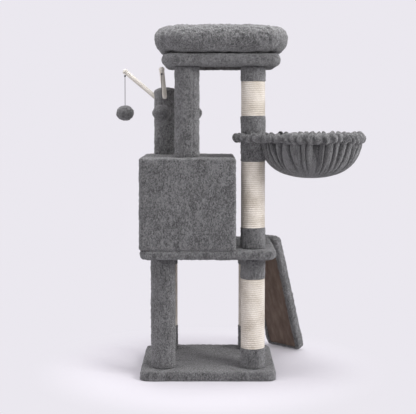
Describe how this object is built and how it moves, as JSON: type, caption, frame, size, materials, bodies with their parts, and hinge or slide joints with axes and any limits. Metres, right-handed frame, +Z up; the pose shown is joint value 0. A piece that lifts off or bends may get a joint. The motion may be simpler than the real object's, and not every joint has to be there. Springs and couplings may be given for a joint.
{
  "type": "cat tree",
  "caption": "Plush and sisal cat tree with a base, posts, middle platform, box condo, swivelling bowl hammock, hanging toy balls, bolstered perch and a ramp.",
  "frame": {"origin": "centre of the base's underside, on the floor", "axes": "+Z up; +X towards the hammock's side; -Y towards the side with the condo's closed back and the perch's two posts; +Y towards the condo's entrance"},
  "size_m": [0.7552, 0.5742, 1.0403],
  "materials": {
    "plush": "short-pile plush, mottled dark grey",
    "sisal": "wound cream sisal rope",
    "board": "bare brown fibreboard",
    "cardboard": "pressed paper tube with glued wooden end plugs",
    "steel": "zinc-plated",
    "rope": "cream rope wrap",
    "string": "twisted cord"
  },
  "bodies": {
    "tree": {"base_board": "board", "base_cover": "plush", "column_bottom_cuff": "plush", "column_lower_core": "cardboard", "column_lower_sisal": "sisal", "column_middle_cuff": "plush", "column_stud": "steel", "column_top_cuff": "plush", "column_upper_core": "cardboard", "column_upper_sisal": "sisal", "condo_back_panel": "board", "condo_cover": "plush", "condo_front_panel": "board", "condo_left_panel": "board", "condo_right_panel": "board", "condo_roof_panel": "board", "front_left_post_core": "cardboard", "front_left_post_cover": "plush", "front_right_high_cuff": "plush", "front_right_low_cuff": "plush", "front_right_post_core": "cardboard", "front_right_post_sisal": "sisal", "perch_board": "board", "perch_bolster": "plush", "perch_cover": "plush", "perch_cushion": "plush", "platform_board": "board", "platform_cover": "plush", "platform_stud": "steel", "ramp_board": "board", "ramp_bracket": "steel", "ramp_cover": "plush", "rear_left_high_cuff": "plush", "rear_left_low_cuff": "plush", "rear_left_post_core": "cardboard", "rear_left_post_sisal": "sisal", "rear_right_high_cuff": "plush", "rear_right_low_cuff": "plush", "rear_right_post_core": "cardboard", "rear_right_post_sisal": "sisal", "tall_post_core": "cardboard", "tall_post_cover": "plush", "toy_arm_1": "rope", "toy_arm_2": "rope", "toy_arm_3": "rope", "toy_post_core": "cardboard", "toy_post_cover": "plush"},
    "hammock": {"hammock_wire": "steel", "hammock_neck_sleeve": "plush", "hammock_rim_casing": "plush", "hammock_bowl": "plush"},
    "toy_link_1": {"toy_knot_1": "string"},
    "toy_drop_1": {"toy_string_1": "string", "toy_ball_1": "plush"},
    "toy_link_2": {"toy_knot_2": "string"},
    "toy_drop_2": {"toy_string_2": "string", "toy_ball_2": "plush"},
    "toy_link_3": {"toy_knot_3": "string"},
    "toy_drop_3": {"toy_string_3": "string", "toy_ball_3": "plush"}
  },
  "joints": [
    {"name": "hammock_swivel", "type": "hinge", "parent": "tree", "child": "hammock", "pos_m": [0.133, -0.111, 0.71], "axis": [0, 0, 1], "range_deg": [-50, 50]},
    {"name": "toy_1_sideways", "type": "hinge", "parent": "tree", "child": "toy_link_1", "pos_m": [-0.2642, 0.1224, 0.9006], "axis": [-0.9962, 0.0872, 0], "range_deg": [-30, 30]},
    {"name": "toy_1_in_out", "type": "hinge", "parent": "toy_link_1", "child": "toy_drop_1", "pos_m": [-0.2642, 0.1224, 0.9006], "axis": [-0.0872, -0.9962, 0], "range_deg": [-28, 28]},
    {"name": "toy_2_sideways", "type": "hinge", "parent": "tree", "child": "toy_link_2", "pos_m": [-0.1408, -0.0195, 0.9006], "axis": [0.6521, -0.7581, 0], "range_deg": [-22, 22]},
    {"name": "toy_2_in_out", "type": "hinge", "parent": "toy_link_2", "child": "toy_drop_2", "pos_m": [-0.1408, -0.0195, 0.9006], "axis": [0.7581, 0.6521, 0], "range_deg": [-22, 20]},
    {"name": "toy_3_sideways", "type": "hinge", "parent": "tree", "child": "toy_link_3", "pos_m": [-0.0474, 0.2089, 0.9006], "axis": [0.6626, 0.749, 0], "range_deg": [-30, 30]},
    {"name": "toy_3_in_out", "type": "hinge", "parent": "toy_link_3", "child": "toy_drop_3", "pos_m": [-0.0474, 0.2089, 0.9006], "axis": [-0.749, 0.6626, 0], "range_deg": [-28, 28]}
  ]
}
